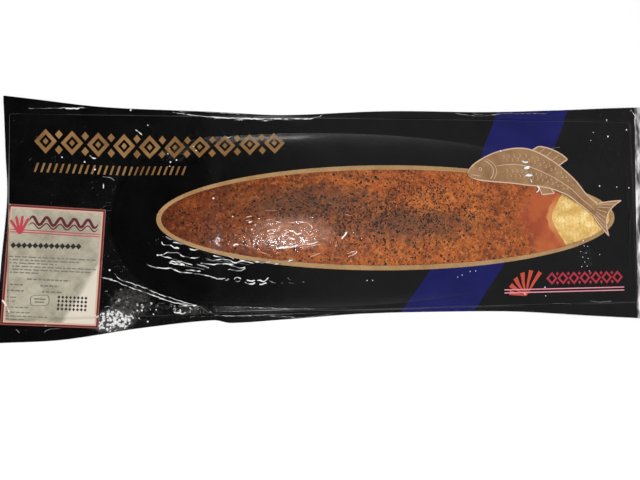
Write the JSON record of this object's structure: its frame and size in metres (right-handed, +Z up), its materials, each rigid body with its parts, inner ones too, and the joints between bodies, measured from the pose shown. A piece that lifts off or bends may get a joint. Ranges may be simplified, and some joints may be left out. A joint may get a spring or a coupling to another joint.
{
  "type": "pack of smoked salmon",
  "caption": "Long flat vacuum pack, printed film with an oval clear window over a smoked salmon side on a stiff board, with a paper label.",
  "frame": {"origin": "centre of the pack's outline, on the surface that it lies on", "axes": "+X along the pack towards the tail end, +Y towards the upper long edge, +Z up through the window"},
  "size_m": [0.647, 0.227, 0.0308],
  "materials": {
    "printed_film": "glossy black printed film",
    "clear_film": "clear glossy film",
    "salmon": "moist smoked flesh with cracked pepper",
    "gold_board": "satin gold coated board",
    "label_paper": "printed paper label"
  },
  "bodies": {
    "root": {"pouch": "printed_film", "window_film": "clear_film", "salmon_side": "salmon", "gold_board": "gold_board", "label": "label_paper"}
  },
  "joints": []
}
